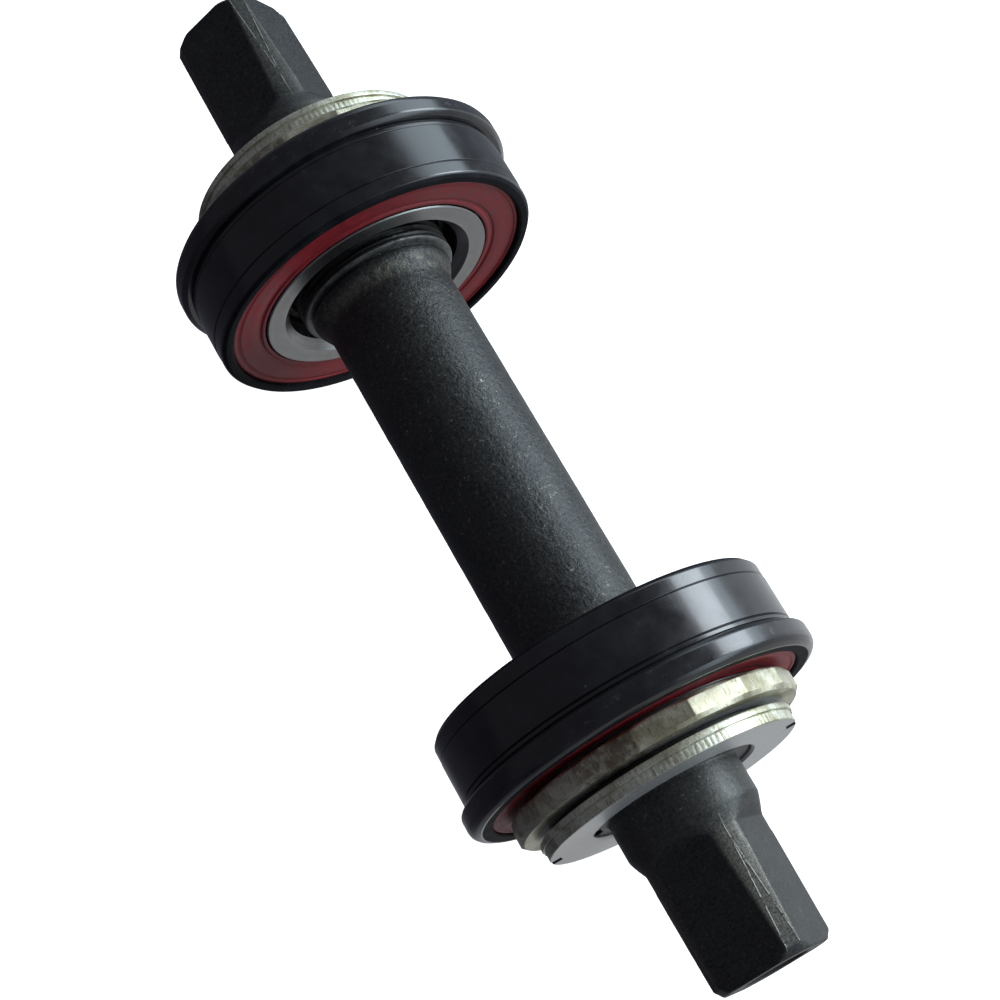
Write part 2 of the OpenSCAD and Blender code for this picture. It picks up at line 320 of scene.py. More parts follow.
def spindle_half(columns, sign):
    """Loops from the middle of the spindle out over one tip and down its bolt hole."""
    start = COLLAR_START[sign]
    step = (start - 4) / 36
    stations = [(step * i, TUBE_R) for i in range(36)]
    stations += [(start - back, r) for back, r in FLARE]
    loops = [spindle_loop(columns, y, r, sign) for y, r in stations]
    for i in range(THREAD_TURNS * TURN_STEPS):
        y = start + 0.1 + i / TURN_STEPS
        loops.append(spindle_loop(columns, y, THREAD_R, sign, thread=0.5 * min(1, i / 6)))
    plain = (start + 6.3, 40, KEY_START, KEY_START + 0.02, 46, COLLAR_END - 0.4)
    stations = [(y, THREAD_R) for y in plain]
    stations += [(COLLAR_END - 0.15, 10.9), (COLLAR_END - 0.03, 10.75)]
    stations += [(COLLAR_END, 10.6), (COLLAR_END, 9.5)]
    loops += [spindle_loop(columns, y, r, sign) for y, r in stations]
    taper = TAPER_START[sign]
    shoulder = taper - RUNOUT
    stations = [(COLLAR_END + 0.02, 9.2), (COLLAR_END + 0.12, 9.04), (COLLAR_END + 0.3, JOURNAL_R)]
    step = (taper - 3.0 - COLLAR_END) / 10
    stations += [(COLLAR_END + 0.6 + step * i, JOURNAL_R) for i in range(9)]
    for i in range(26):
        y = shoulder - 0.2 + 0.12 * i
        cone = JOURNAL_R - (JOURNAL_R - CORNER_R) * (y - shoulder) / 2.4
        stations.append((y, -smooth_min(-smooth_min(JOURNAL_R, cone, 0.12), -CORNER_R, 0.12)))
    chamfer = HALF_L - TIP_CHAMFER
    step = (chamfer - 0.6 - taper) / 30
    stations += [(taper + 0.5 + step * i, CORNER_R) for i in range(30)]
    for y in (chamfer - 0.2, chamfer, chamfer + 0.2, chamfer + 0.45, chamfer + 0.75):
        stations.append((y, smooth_min(CORNER_R, CORNER_R - (y - chamfer), 0.14)))
    loops += [spindle_loop(columns, y, r, sign) for y, r in stations]
    for back, inset in ((0.16, 0.0), (0.09, 0.02), (0.04, 0.06), (0.01, 0.11), (0.0, 0.16)):
        loops.append(spindle_loop(columns, HALF_L - back, CORNER_R - TIP_CHAMFER + back, sign, inset))
    angles = [math.radians(SQUARE_TURN + 45 + 90 * q + a) for q, a in columns]
    rim = [Vector(spot(5.0, a, sign * HALF_L)) for a in angles]
    loops.append([tuple(Vector(point).lerp(inner, 0.5)) for point, inner in zip(loops[-1], rim)])
    loops.append([spot(4.8, a, sign * HALF_L) for a in angles])
    angles = angles[::2]
    for back, radius in ((0.0, 4.6), (0.03, 4.5), (0.1, 4.42), (0.9, 3.62)):
        loops.append([spot(radius, a, sign * (HALF_L - back)) for a in angles])
    last = 140
    for i in range(last + 1):
        y = HALF_L - 1.0 - i / TURN_STEPS
        depth = 0.45 * min(1, i / 8, (last - i) / 10)
        radii = [HOLE_R + depth * (1 - groove(sign * y - a / TURN)) for a in angles]
        loops.append([spot(radius, a, sign * y) for radius, a in zip(radii, angles)])
    loops.append([spot(HOLE_R, a, sign * (HALF_L - HOLE_L)) for a in angles])
    loops.append([(0, sign * (HALF_L - HOLE_L - 2), 0)])
    return loops


def make_spindle():
    columns = spindle_columns()
    loops = spindle_half(columns, -1)[::-1] + spindle_half(columns, 1)[1:]
    return build("spindle_body", [loops], closed=False, sharp=40, middle=0)


# ---- Cup and bearing ----

def make_cup(side_name, side):
    """A cup with a rounded flange, an undercut and a fine turned line at each end of its seat."""
    flange_in = 38.3
    lines = (37.4, 31.5)
    line_w = 0.14
    land = SEAT_R - 0.06       # the surface beyond the lines
    corners = [
        (CUP_IN, 21.55, 0.1), (CUP_IN + 0.2, SEAL_R), (OUTER_IN, SEAL_R), (OUTER_IN, RACE_R),
        (OUTER_OUT, RACE_R), (OUTER_OUT, SEAL_R), (CUP_OUT - 0.2, SEAL_R), (CUP_OUT, 21.5, 0.12),
        (CUP_OUT, 23.0, 0.3), (CUP_OUT - 0.3, 23.6, 0.5), (CUP_OUT - 0.75, 24.0, 0.5),
        (CUP_OUT - 1.3, FLANGE_R, 0.5),
        (flange_in + 0.55, FLANGE_R, 0.5), (flange_in + 0.04, 23.5, 0.25), (flange_in, 22.75, 0.08),
        (flange_in - 0.28, 22.75, 0.08), (flange_in - 0.3, land, 0.1),
        (lines[0] + line_w, land, 0.05), (lines[0], SEAT_R - 0.2), (lines[0] - line_w, SEAT_R, 0.05),
        (lines[1] + line_w, SEAT_R, 0.05), (lines[1], SEAT_R - 0.2), (lines[1] - line_w, land, 0.05),
        (CUP_IN + 0.6, land, 0.35), (CUP_IN, 22.4, 0.12),
    ]
    return lathe("cup_shell_" + side_name, corners, side, 288)


def seal_corners(face, way):
    """A seal's outline: face is its outer face and way points out of the bearing."""
    lip = INNER_LAND_R + 0.2

    def at(depth):
        return face - way * depth

    return [
        (at(0.95), OUTER_LAND_R), (at(0.95), SEAL_R - 0.02, 0.1), (at(0.1), SEAL_R - 0.02, 0.1),
        (at(0.0), 21.0, 0.1), (at(0.0), 20.75, 0.08), (at(0.14), 20.6, 0.08), (at(0.1), 20.3, 0.1),
        (at(0.0), 20.0, 0.3), (at(0.02), 18.6, 0.5), (at(0.1), 17.7, 0.3), (at(0.3), 17.45, 0.12),
        (at(0.3), 17.15, 0.12), (at(0.1), 16.95, 0.12), (at(0.06), 16.75, 0.1), (at(0.14), lip, 0.06),
        (at(0.5), lip, 0.06), (at(0.62), 17.0), (at(0.62), OUTER_LAND_R),
    ]


def raceway(out):
    """A ball groove's outline, from its inboard edge: out is 1 for the outer ring, -1 for the inner."""
    radius, steps = BALL_R + 0.04, 12
    angles = [math.radians(58 - 116 * i / steps) for i in range(steps + 1)]
    return [(BEARING_Y - radius * math.sin(a), PITCH_R + out * radius * math.cos(a)) for a in angles]


def make_inner_race(side_name, side):
    chamfer, edge = 1.2, 0.15
    corners = [
        (RING_IN, BORE_R + chamfer, 0.15), (RING_IN, INNER_LAND_R - edge, 0.06),
        (RING_IN + edge, INNER_LAND_R, 0.06),
    ] + raceway(-1) + [
        (RING_OUT - edge, INNER_LAND_R, 0.06), (RING_OUT, INNER_LAND_R - edge, 0.06),
        (RING_OUT, BORE_R + chamfer, 0.15), (RING_OUT - chamfer, BORE_R, 0.15),
        (RING_IN + chamfer, BORE_R, 0.15),
    ]
    return lathe("inner_ring_" + side_name, corners, side, 224)


def make_outer_race(side_name, side):
    corners = [
        (OUTER_IN, RACE_R - 0.25, 0.1), (OUTER_IN, OUTER_LAND_R, 0.1),
    ] + raceway(1) + [
        (OUTER_OUT, OUTER_LAND_R, 0.1), (OUTER_OUT, RACE_R - 0.25, 0.1),
        (OUTER_OUT - 0.25, RACE_R - 0.01), (OUTER_IN + 0.25, RACE_R - 0.01),
    ]
    return lathe("outer_ring_" + side_name, corners, side, 160)


def ball_angle(ball, shift=0.0):
    """A ball's angle round the axis. The CAD puts its first ball on +X."""
    return math.pi / 2 - TURN * (ball + shift) / BALLS


def turned_set(name, outline, shift, count, side, sharp):
    """One turned shape at each ball's place, or half-way between two with a shift of 0.5.

    The outline is a list of (y, radius) about the shape's own axis, which lies along Y.
    """
    parts = []
    for ball in range(BALLS):
        mx, my, mz = spot(PITCH_R, ball_angle(ball, shift), BEARING_Y)
        loops = []
        for y, radius in outline:
            angles = [TURN * i / count for i in range(count)] if radius else [0.0]
            loops.append([(mx + radius * math.sin(a), my + y, mz + radius * math.cos(a)) for a in angles])
        parts.append(loops)
    return build(name, parts, side, closed=False, sharp=sharp)


def make_balls(side_name, side):
    rows = 20
    tilts = [math.pi * row / rows for row in range(1, rows)]
    outline = [(-BALL_R * math.cos(tilt), BALL_R * math.sin(tilt)) for tilt in tilts]
    outline = [(-BALL_R, 0.0)] + outline + [(BALL_R, 0.0)]
    return turned_set("ball_set_" + side_name, outline, 0.0, 36, side, 60)


def make_cage(name, side, way):
    """A pressed half of the cage: a flat ribbon with a round pocket over each ball."""
    sheet = 0.6                # its thickness
    pocket = BALL_R + 0.1
    rows = [INNER_LAND_R + 0.2 + 1.9 * i / 8 for i in range(9)]
    loops = []
    count = BALLS * 30
    for column in range(count):
        angle = math.pi / 2 + TURN * column / count
        off = (TURN * column / count + math.pi / BALLS) % (TURN / BALLS) - math.pi / BALLS
        section = []
        for radius in rows:
            gap = math.hypot(radius * math.cos(off) - PITCH_R, radius * math.sin(off))
            dome = math.sqrt(max(0, (pocket + sheet) ** 2 - gap * gap))
            section.append((radius, -smooth_min(-sheet, -dome, 0.5) if gap < pocket + sheet else sheet))
        for radius in reversed(rows):
            gap = math.hypot(radius * math.cos(off) - PITCH_R, radius * math.sin(off))
            section.append((radius, math.sqrt(max(0, pocket ** 2 - gap * gap)) if gap < pocket else 0.0))
        loops.append([spot(radius, angle, BEARING_Y + way * height) for radius, height in section])
    return build(name, [loops], side, sharp=50)


def make_rivets(side_name, side):
    outline = [(-1.0, 0.0), (-1.0, 0.3), (-0.92, 0.62), (-0.75, 0.78), (-0.6, 0.8), (-0.6, 0.5)]
    outline += [(-y, r) for y, r in reversed(outline)]
    return turned_set("rivet_set_" + side_name, outline, 0.5, 20, side, 50)


# ---- Nuts and washer ----

def make_adjusting_nut(side_name, side):
    """A nut with flat sides, and a boss that runs back through the inner ring."""
    flat = 19.55 * math.cos(math.pi / NUT_SIDES)
    step = 360 / NUT_SIDES
    fine = (0, 0.25, 0.55, 1.0)    # degrees from a corner
    local = [-step / 2 + f for f in fine] + [-8, -5.3, -2.7, 0, 2.7, 5.3, 8]
    local += [step / 2 - f for f in fine[:0:-1]]
    columns = [(math.radians(NUT_TURN + step * n + a), math.radians(abs(a)))
               for n in range(NUT_SIDES) for a in local]
    end = RING_OUT - 8
    bore = COLLAR_R + 0.01
    boss = BORE_R - 0.01
    corners = [
        (end, COLLAR_R + 0.35, 0.1), (end, BORE_R - 0.35, 0.1), (end + 0.35, boss, 0.1),
        (RING_OUT - 0.01, boss), (RING_OUT + 0.01, BORE_R + 0.2), (RING_OUT + 0.01, 15.5, 0.1),
        (NUT_IN, 15.6, 0.1), (NUT_IN, 19.1, 0.2), (NUT_IN + 0.35, NUT_R, 0.2),
        (NUT_OUT - 0.55, NUT_R, 0.1), (NUT_OUT, 18.95, 0.1), (NUT_OUT, COLLAR_R + 0.45, 0.12),
        (NUT_OUT - 0.4, bore, 0.1), (end + 0.35, bore, 0.1),
    ]
    loops = []
    for y, radius in rounded(corners):
        loop = []
        for angle, off in columns:
            r = radius
            if radius > flat - 0.3:
                facet = smooth_min(flat / math.cos(off), flat / math.cos(math.radians(step) - off), 0.02)
                r = smooth_min(radius, facet, 0.05)
            loop.append(spot(r, angle, y))
        loops.append(loop)
    return build("nut_" + side_name, [loops], side, sharp=24)


def notched(radius, floor, wide, last, partner, count):
    """Points round a circle with a notch or tab, and each point's angle on the ring that faces it.

    The feature is centred on angle 0, has sides wide from its middle and ends at radius floor.
    partner gives the facing angles of one side's points. count points follow it round to the angle
    last. Both are in degrees.
    """
    side_points = len(partner)
    across = 6
    points = []
    top = math.sqrt(radius * radius - wide * wide)
    for i in range(side_points):
        points.append((-wide, top + (floor - top) * i / (side_points - 1)))
    for i in range(1, across):
        points.append((-wide + 2 * wide * i / across, floor))
    for i in range(side_points):
        points.append((wide, floor + (top - floor) * i / (side_points - 1)))
    facing = [-a for a in partner]
    facing += [-partner[-1] + 2 * partner[-1] * i / across for i in range(1, across)]
    facing += list(reversed(partner))
    start = math.degrees(math.asin(wide / radius))
    for i in range(1, count):
        t = i / count
        here = math.radians(start + (last - start) * t)
        points.append((radius * math.sin(here), radius * math.cos(here)))
        facing.append(partner[0] + (last - partner[0]) * t)
    return points, facing


def turned_point(x, z, y, turn):
    c, s = math.cos(turn), math.sin(turn)
    return (x * c + z * s, y, z * c - x * s)


def make_washer(side_name, side):
    """A thin washer whose tab reaches into the spindle's keyway."""
    low, high = NUT_OUT + 0.02, WASHER_OUT - 0.02
    rim = 15.2
    turn = math.radians(KEY_TURN)
    inner, facing = notched(COLLAR_R + 0.01, 10.02, 1.4, 352.7, (7.3, 5.5, 3.7), 150)
    loops = [[turned_point(x, z, y, turn) for x, z in inner] for y in (low, high)]
    for y, radius in ((high, rim - 0.12), (high - 0.05, rim - 0.03), (high - 0.15, rim),
                      (low + 0.15, rim), (low + 0.05, rim - 0.03), (low, rim - 0.12)):
        loops.append([spot(radius, math.radians(a) + turn, y) for a in facing])
    return build("washer_" + side_name, [loops], side)


def make_lock_nut(side_name, side, knurl_out):
    """A round nut with a smooth band and a knurled band on its rim, and two slots."""
    low, high = WASHER_OUT, LOCK_OUT
    ticks = 150                # of the knurl
    knurl_w = 1.32
    partner = (10.0, 9.2, 8.4, 7.6)
    count = 384                # points from one slot to the other

    def facing_way(y):
        """Turns the nut end for end where its knurl faces inboard."""
        return y if knurl_out else low + high - y

    def half_turn(radius, wide, floor):
        """The points and facing angles from one slot to the other."""
        return notched(radius, floor, wide, 180 - math.degrees(math.asin(wide / radius)), partner, count)

    def outline(radius, y, grow, cut):
        """The whole rim at one y: grow widens the slots, and cut is the depth of the knurl."""
        loop = []
        for half in (0, 1):
            turn = math.radians(KEY_TURN + 180 * half)
            points, _ = half_turn(radius, SLOT_HALF + grow, SLOT_FLOOR - grow)
            for x, z in points:
                if cut and math.hypot(x, z) > radius - 0.02:
                    wave = 0.5 + 0.5 * math.cos(ticks * math.atan2(x, z))
                    scale = 1 - cut * wave ** 3 / radius
                    x, z = x * scale, z * scale
                loop.append(turned_point(x, z, facing_way(y), turn))
        return loop

    def bore(radius, y):
        loop = []
        for half in (0, 1):
            turn = math.radians(KEY_TURN + 180 * half)
            _, facing = half_turn(LOCK_R, SLOT_HALF, SLOT_FLOOR)
            span = 180 - 2 * partner[0]
            facing[1 - count:] = [partner[0] + span * i / count for i in range(1, count)]
            loop.extend(spot(radius, math.radians(a) + turn, facing_way(y)) for a in facing)
        return loop

    line = high - knurl_w
    rough_r = LOCK_R - 0.28
    loops = [
        bore(COLLAR_R + 0.02, high - 0.3), bore(COLLAR_R + 0.3, high),
        outline(rough_r - 0.2, high, 0.12, 0.0), outline(rough_r - 0.06, high - 0.05, 0.03, 0.0),
        outline(rough_r, high - 0.13, 0, 0.015), outline(rough_r, high - 0.22, 0, 0.035),
        outline(rough_r, line + 0.24, 0, 0.035), outline(rough_r, line + 0.14, 0, 0.015),
        outline(rough_r - 0.1, line + 0.08, 0, 0), outline(rough_r - 0.1, line, 0, 0),
        outline(LOCK_R - 0.12, line - 0.02, 0, 0), outline(LOCK_R - 0.03, line - 0.07, 0, 0),
        outline(LOCK_R, line - 0.16, 0, 0),
        outline(LOCK_R, low + 0.22, 0, 0), outline(LOCK_R - 0.06, low + 0.08, 0.02, 0),
        outline(LOCK_R - 0.2, low, 0.1, 0), bore(COLLAR_R + 0.3, low), bore(COLLAR_R + 0.02, low + 0.3),
    ]
    return build("lock_ring_" + side_name, [loops], side, sharp=30)


# ---- Materials ----

class Graph:
    """Makes nodes in one node tree. A value is a number, a colour or another node's socket."""

    def __init__(self, tree):
        self.tree = tree

    def put(self, socket, value):
        if isinstance(value, bpy.types.NodeSocket):
            self.tree.links.new(value, socket)
        else:
            socket.default_value = value

    def node(self, kind, **values):
        made = self.tree.nodes.new(kind)
        for key, value in values.items():
            self.put(made.inputs[key.replace("_", " ")], value)
        return made

    def math(self, operation, a, b=None, clamp=False):
        made = self.tree.nodes.new("ShaderNodeMath")
        made.operation = operation
        made.use_clamp = clamp
        self.put(made.inputs[0], a)
        if b is not None:
            self.put(made.inputs[1], b)
        return made.outputs[0]

    def times(self, a, b, clamp=False):
        return self.math("MULTIPLY", a, b, clamp)

    def span(self, value, low, high, to_low=0.0, to_high=1.0, smooth=False):
        """The value carried from low and high to to_low and to_high, and held there beyond them."""
        made = self.node("ShaderNodeMapRange", Value=value)
        for key, number in (("From Min", low), ("From Max", high), ("To Min", to_low), ("To Max", to_high)):
            made.inputs[key].default_value = number
        if smooth:
            made.interpolation_type = "SMOOTHSTEP"
        return made.outputs[0]

    def blend(self, fac, a, b):
        made = self.tree.nodes.new("ShaderNodeMix")
        made.data_type = "RGBA"
        self.put(made.inputs["Factor"], fac)
        self.put(made.inputs[6], (*a, 1) if isinstance(a, tuple) else a)
        self.put(made.inputs[7], (*b, 1) if isinstance(b, tuple) else b)
        return made.outputs[2]


class Paint(Graph):
    """Builds one procedural material. Positions are in millimetres in the object's own frame."""

    def __init__(self, name):
        self.material = bpy.data.materials.new(name)
        self.material.use_nodes = True
        super().__init__(self.material.node_tree)
        self.tree.nodes.clear()
        self.surface = self.node("ShaderNodeBsdfPrincipled")
        out = self.node("ShaderNodeOutputMaterial")
        self.tree.links.new(self.surface.outputs[0], out.inputs["Surface"])
        coordinates = self.node("ShaderNodeTexCoord").outputs["Object"]
        self.place = self.vector("SCALE", coordinates, Scale=1 / MM)
        parts = self.node("ShaderNodeSeparateXYZ", Vector=self.place)
        self.x, self.y, self.z = parts.outputs
        flat = self.node("ShaderNodeCombineXYZ", X=self.x, Z=self.z)
        self.radius = self.vector("LENGTH", flat.outputs[0], out="Value")
        self.along = self.math("ABSOLUTE", self.y)
        rings = self.node("ShaderNodeCombineXYZ", X=self.radius, Y=self.y)
        self.rings = rings.outputs[0]

    def turn(self):
        """Degrees round the axis."""
        return self.times(self.math("ARCTAN2", self.x, self.z), 180 / math.pi)

    def vector(self, operation, a, b=None, out="Vector", **values):
        made = self.node("ShaderNodeVectorMath")
        made.operation = operation
        self.put(made.inputs[0], a)
        if b is not None:
            self.put(made.inputs[1], b)
        for key, value in values.items():
            self.put(made.inputs[key], value)
        return made.outputs[out]

    def noise(self, scale, detail=3.0, rough=0.5, vector=None, stretch=None, distort=0.0):
        """A noise with about scale features to a millimetre."""
        vector = vector or self.place
        if stretch:
            vector = self.vector("MULTIPLY", vector, stretch)
        return self.node("ShaderNodeTexNoise", Vector=vector, Scale=scale, Detail=detail,
                         Roughness=rough, Distortion=distort).outputs[0]

    def cells(self, scale, vector=None, feature="F1"):
        made = self.node("ShaderNodeTexVoronoi", Vector=vector or self.place, Scale=scale)
        made.feature = feature
        return made.outputs["Distance"]

    def bump(self, height, strength, distance_mm, under=None):
        made = self.node("ShaderNodeBump", Height=height, Strength=strength, Distance=distance_mm * MM)
        if under is not None:
            self.put(made.inputs["Normal"], under)
        return made.outputs[0]

    def finish(self, **values):
        """The finished material: one value for each named socket of its shader."""
        for key, value in values.items():
            self.put(self.surface.inputs[key.replace("_", " ")], value)
        return self.material


def scratches(p, scale, width, tilt, least):
    """A mask of a few thin straight scratches, fewer where least is higher."""
    tilted = p.node("ShaderNodeMapping", Vector=p.place, Rotation=tilt, Scale=(1, 0.12, 1)).outputs[0]
    lines = p.cells(scale, tilted, "DISTANCE_TO_EDGE")
    thin = p.span(lines, 0.0, width, 1.0, 0.0)
    where = p.span(p.noise(0.35, 2), least, least + 0.1)
    return p.times(thin, where, clamp=True)


def black_oxide():
    """The spindle's dark finish: forged in the middle, turned at the ends, worn where it is proud."""
    p = Paint("black_oxide")
    broad = p.noise(0.22, 4, 0.6)
    lumps = p.noise(1.15, 3, 0.55, distort=0.4)
    fine = p.noise(2.6, 6, 0.65)
    grain = p.noise(7.0, 4, 0.6)
    tone = p.blend(p.span(fine, 0.35, 0.68), (0.019, 0.02, 0.022), (0.075, 0.08, 0.08))
    tone = p.blend(p.span(broad, 0.4, 0.7, 0.0, 0.5), tone, (0.065, 0.07, 0.062))
    # bare specks, fewer on the tapers, and thin scratches
    specks = p.times(p.span(p.noise(1.7, 4, 0.75), 0.60, 0.68), p.span(broad, 0.38, 0.58), clamp=True)
    specks = p.times(specks, p.span(p.along, TAPER_START[1] - 4, TAPER_START[1] - 1, 0.75, 0.25))
    tone = p.blend(specks, tone, (0.36, 0.36, 0.34))
    mark = scratches(p, 0.5, 0.006, (0.4, 0.2, 0.7), 0.6)
    tone = p.blend(p.times(mark, 0.4), tone, (0.22, 0.22, 0.22))
    # painted highlight on the forged flare, bare steel where the threads begin, and painted shade on the
    # threads inside the bearing's bore
    inboard = p.math("SUBTRACT", p.span(p.y, -1, 1, COLLAR_START[-1], COLLAR_START[1]), p.along)
    flare_highlight = p.times(p.span(inboard, 1.6, 2.4), p.span(inboard, 3.2, 4.2, 1.0, 0.0))
    flare_highlight = p.times(flare_highlight, p.span(p.noise(0.7, 4, 0.7), 0.4, 0.6))
    tone = p.blend(p.times(flare_highlight, 0.45), tone, (0.24, 0.23, 0.17))
    bevel = p.times(p.span(inboard, 0.12, 0.2), p.span(inboard, 0.32, 0.36, 1.0, 0.0))
    bevel = p.times(bevel, p.span(p.noise(0.5, 3), 0.35, 0.6, 0.1, 0.45))
    tone = p.blend(bevel, tone, (0.38, 0.38, 0.37))
    # painted shade: the threads near black from the collar's start to the nut, where they lie in shadow
    # inside the bore
    thread_shade = p.times(p.span(inboard, -0.1, 0.1, 1.0, 0.0), p.span(p.along, 43.0, 44.0, 1.0, 0.0))
    tone = p.blend(p.times(thread_shade, 0.7), tone, (0.012, 0.012, 0.012))
    # wear on the journals and on the square's rounded corners, less on the left ones
    tapered = p.span(p.along, TAPER_START[1] - 1, TAPER_START[-1] + 1)
    rub = p.span(p.noise(3.2, 5, 0.75), 0.38, 0.62)
    corner = p.times(p.span(p.radius, 7.93, 8.05), p.times(tapered, rub), clamp=True)
    corner = p.times(corner, p.span(p.y, -1.0, 1.0, 1.0, 0.4))
    outer = p.span(p.along, COLLAR_END, COLLAR_END + 0.3)
    journal = p.times(p.span(p.radius, 8.6, 8.9), p.times(outer, rub), clamp=True)
    worn = p.times(p.math("MAXIMUM", corner, p.times(journal, 0.3)), 0.5)
    tone = p.blend(worn, tone, (0.24, 0.225, 0.175))
    # bright lines along the two edges of each corner's narrow facet, which widens to 15 degrees
    off = p.math("PINGPONG", p.math("SUBTRACT", p.turn(), SQUARE_TURN), 45)
    half_wide = p.span(p.along, HALF_L - FACET_L, HALF_L, 0.0, 7.5)
    edge = p.span(p.math("ABSOLUTE", p.math("SUBTRACT", off, half_wide)), 0.3, 1.0, 1.0, 0.0)
    broken = p.times(p.span(p.radius, 7.6, 7.8), p.span(p.noise(0.8, 3), 0.4, 0.5))
    edge = p.times(p.times(edge, broken, clamp=True), tapered)
    tone = p.blend(p.times(edge, 0.32), tone, (0.34, 0.33, 0.3))
    rough = p.span(fine, 0.3, 0.7, 0.34, 0.52)
    relief = p.math("ADD", lumps, p.times(fine, 0.6))
    relief = p.times(relief, p.span(inboard, 1.0, 1.5, 0.3, 1.0))
    relief = p.math("ADD", relief, p.times(edge, 0.25))
    normal = p.bump(grain, 0.35, 0.03)
    normal = p.bump(relief, 0.6, 0.22, normal)
    return p.finish(Base_Color=tone, Roughness=rough, Metallic=0.55, Normal=normal)


def black_gloss():
    """The cups' finish, dull on the faces inside their rims."""
    p = Paint("black_gloss")
    cloud = p.noise(0.35, 4, 0.55)
    turned = p.noise(9.0, 3, 0.6, p.rings)
    grain = p.noise(6.0, 4, 0.6)
    tone = p.blend(p.span(cloud, 0.35, 0.7), (0.0085, 0.009, 0.011), (0.02, 0.021, 0.025))
    # scratches, nicks, wear on the flange's rim, and dust
    nick = p.span(p.noise(1.3, 3, 0.65), 0.72, 0.74)
    nick = p.times(nick, p.span(p.noise(0.18, 2), 0.5, 0.58), clamp=True)
    mark = p.math("MAXIMUM", scratches(p, 0.28, 0.005, (0.3, 0.9, 0.2), 0.63), nick)
    rim = p.times(p.span(p.radius, 24.0, 24.14), p.span(p.noise(0.9, 3, 0.7), 0.6, 0.7), clamp=True)
    mark = p.math("MAXIMUM", mark, p.times(rim, 0.25))
    tone = p.blend(p.times(mark, 0.5), tone, (0.3, 0.3, 0.31))
    dust = p.span(p.noise(4.2, 2, 0.6), 0.7, 0.78, 0.0, 0.1)
    tone = p.blend(dust, tone, (0.14, 0.14, 0.15))
    rough = p.span(cloud, 0.3, 0.7, 0.16, 0.27)
    rough = p.math("ADD", rough, p.times(mark, 0.2), clamp=True)
    face = p.span(p.radius, 22.72, 22.85, 1.0, 0.0)
    rough = p.math("ADD", rough, p.times(face, 0.35), clamp=True)
    normal = p.bump(turned, 0.10, 0.01)
    normal = p.bump(grain, 0.08, 0.012, normal)
    return p.finish(Base_Color=tone, Roughness=rough, Metallic=0.0, Normal=normal, Coat_Roughness=0.08,
                    Specular_IOR_Level=p.span(face, 0, 1, 0.6, 0.05),
                    Coat_Weight=p.span(face, 0, 1, 0.25, 0.0))


def bearing_steel():
    p = Paint("bearing_steel")
    lines = p.noise(7.0, 3, 0.6, p.rings)
    cloud = p.noise(0.8, 4, 0.6)
    tone = p.blend(p.span(lines, 0.35, 0.65), (0.28, 0.28, 0.278), (0.38, 0.379, 0.375))
    tone = p.blend(p.span(cloud, 0.5, 0.75, 0.0, 0.4), tone, (0.3, 0.29, 0.27))
    normal = p.bump(lines, 0.18, 0.012)
    rough = p.span(cloud, 0.3, 0.7, 0.27, 0.4)
    return p.finish(Base_Color=tone, Roughness=rough, Metallic=1.0, Normal=normal)


def ball_steel():
    p = Paint("ball_steel")
    cloud = p.noise(0.9, 4, 0.6)
    tone = p.blend(cloud, (0.55, 0.55, 0.56), (0.66, 0.66, 0.66))
    rough = p.span(cloud, 0.3, 0.7, 0.05, 0.12)
    return p.finish(Base_Color=tone, Roughness=rough, Metallic=1.0)


def cage_steel():
    p = Paint("cage_steel")
    cloud = p.noise(1.4, 4, 0.6)
    tone = p.blend(cloud, (0.3, 0.29, 0.27), (0.48, 0.47, 0.45))
    normal = p.bump(p.noise(6.0, 3), 0.15, 0.02)
    rough = p.span(cloud, 0.3, 0.7, 0.3, 0.45)
    return p.finish(Base_Color=tone, Roughness=rough, Metallic=1.0, Normal=normal)


def seal_rubber():
    p = Paint("seal_rubber")
    cloud = p.noise(0.5, 4, 0.6)
    grain = p.noise(9.0, 4, 0.6)
    tone = p.blend(p.span(cloud, 0.35, 0.65), (0.24, 0.012, 0.02), (0.34, 0.02, 0.03))
    tone = p.blend(p.span(p.noise(2.4, 3, 0.7), 0.62, 0.74, 0.0, 0.4), tone, (0.32, 0.1, 0.1))
    rim = p.span(p.radius, 21.12, 21.25)
    tone = p.blend(rim, tone, (0.01, 0.008, 0.008))
    normal = p.bump(grain, 0.18, 0.02)
    rough = p.span(cloud, 0.3, 0.7, 0.42, 0.58)
    return p.finish(Base_Color=tone, Roughness=rough, Normal=normal)


